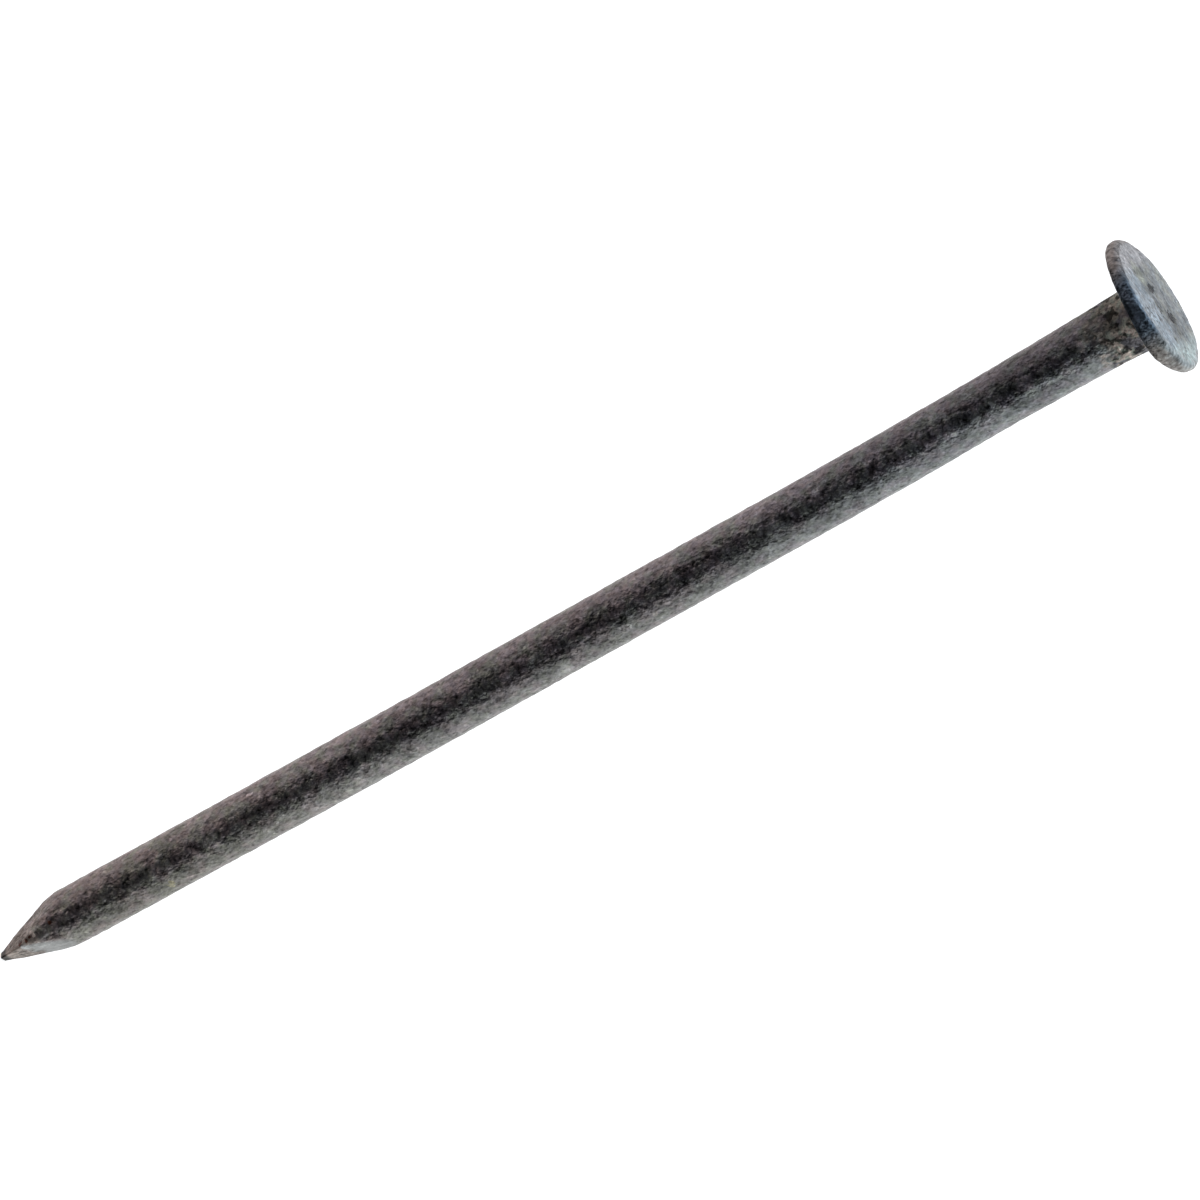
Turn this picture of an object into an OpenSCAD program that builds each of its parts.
// Hot-dip galvanised flat-head wire nail.
// The steel nail is one piece of cold-formed wire: head, neck, shank and diamond point.
// A zinc coating is bonded all over it, except on the blunt end of the point.
// The origin is on the nail's axis, in the plane of the finished seat under the head.
// +Z points out through the head, and the point is at -Z.

/* [Nail] */
// Length from the seat under the head to the blunt end of the point
nail_len = 75; // [40:0.5:150]
// Diameter of the bare steel wire
wire_d = 3.15; // [2.4:0.05:6]
// Thickness of the zinc coating
zinc_t = 0.05; // [0.03:0.01:0.12]

/* [Head] */
// Diameter of the steel head
head_d = 8.1; // [7:0.1:14]
// Thickness of the steel head
head_t = 0.76; // [0.5:0.02:1.5]
// Radius of the rim's two rounded edges, as a share of the head's thickness
edge_share = 0.4; // [0.1:0.05:0.45]

/* [Neck] */
// Length below the seat over which the wire is swollen by the heading
neck_len = 9; // [7:0.5:15]
// How much the swelling adds to the wire's radius, right under the head
neck_swell = 0.16; // [0.02:0.02:0.3]
// Radius of the fillet between the steel neck and the head
fillet_r = 0.4; // [0.2:0.05:0.6]
// Number of gripper marks on each of the two flat-struck sides
mark_count = 3; // [1:1:5]
// Distance from the seat to the first gripper mark
mark_start = 1.2; // [1.2:0.1:2]
// Distance from one gripper mark to the next
mark_pitch = 0.8; // [0.8:0.05:1.2]
// Depth of a gripper mark
mark_depth = 0.08; // [0.04:0.01:0.2]

/* [Point] */
// Angle between the axis and the two long ridges of the point, on the X sides
long_ridge_angle = 18.5; // [14:0.5:26]
// Angle between the axis and the two short ridges of the point, on the Y sides
short_ridge_angle = 33; // [18:0.5:36]
// Width of the blunt steel end, across the long ridges
tip_w = 0.4; // [0.2:0.02:0.6]

/* [Hidden] */

$fn = 96;
ARC_STEPS = 5;
wire_r = wire_d / 2;
head_r = head_d / 2;
edge_r = edge_share * head_t;

// the steel seat and the steel top of the head, which the coating covers
seat_z = zinc_t;
top_z = seat_z + head_t;

// the four facets of the point meet at a sharp apex beyond the blunt end
end_z = -nail_len;
apex_z = end_z - tip_w / 2 / tan(long_ridge_angle);
across_long = 1 / tan(long_ridge_angle);
across_short = 1 / tan(short_ridge_angle);
facet_angle = atan(1 / norm([across_long, across_short]));
facet_turn = atan2(across_short, across_long);
facet_cut = 1.5 * (wire_r + zinc_t) / sin(facet_angle);

// a gripper mark is the corner of a square bar pressed into the side
mark_bar = wire_r;

// radius of the steel at a height on the neck
function neck_radius(z) = wire_r + neck_swell * (neck_len + z) / neck_len;

// points along an arc, from one angle to another
function arc(centre, r, from, to) =
    [for (i = [0:ARC_STEPS])
        let (a = from + (to - from) * i / ARC_STEPS)
        centre + r * [cos(a), sin(a)]];

// half outline of the nail before its point is cut, grown outwards by grow, down to bottom_z
function outline(grow, bottom_z) = concat(
    [[0, bottom_z], [wire_r + grow, bottom_z], [wire_r + grow, -neck_len]],
    arc([neck_radius(0) + fillet_r, seat_z - fillet_r], fillet_r - grow, 180, 90),
    arc([head_r - edge_r, seat_z + edge_r], edge_r + grow, -90, 0),
    arc([head_r - edge_r, top_z - edge_r], edge_r + grow, 0, 90),
    [[0, top_z + grow]]
);

// what is ground away outside the four facets of the point
module facet_cutters(grow) {
    for (turn = [facet_turn, 180 - facet_turn, 180 + facet_turn, -facet_turn])
        translate([0, 0, apex_z])
            rotate([0, facet_angle, turn])
                translate([grow, -facet_cut, -facet_cut])
                    cube([facet_cut, 2 * facet_cut, 2 * facet_cut]);
}

// the gripper die's teeth, on both Y sides of the neck
module mark_cutters(grow) {
    for (side = [-1, 1], i = [0:mark_count - 1]) {
        z = -mark_start - i * mark_pitch;
        depth_y = neck_radius(z) + grow - mark_depth;
        translate([0, side * (depth_y + mark_bar / sqrt(2)), z])
            rotate([45, 0, 0])
                cube([2 * wire_d, mark_bar, mark_bar], center = true);
    }
}

// the nail's form with its surface grown outwards by grow
module nail_form(grow, bottom_z) {
    difference() {
        rotate_extrude() polygon(outline(grow, bottom_z));
        facet_cutters(grow);
        mark_cutters(grow);
    }
}

module steel_nail() {
    color([0.27, 0.26, 0.25]) nail_form(0, end_z);
}

// the space for the steel runs on past the end, so the coating is open there
module galvanised_coating() {
    color([0.55, 0.57, 0.58]) difference() {
        nail_form(zinc_t, end_z);
        nail_form(0, end_z - zinc_t);
    }
}

galvanised_coating();
steel_nail();
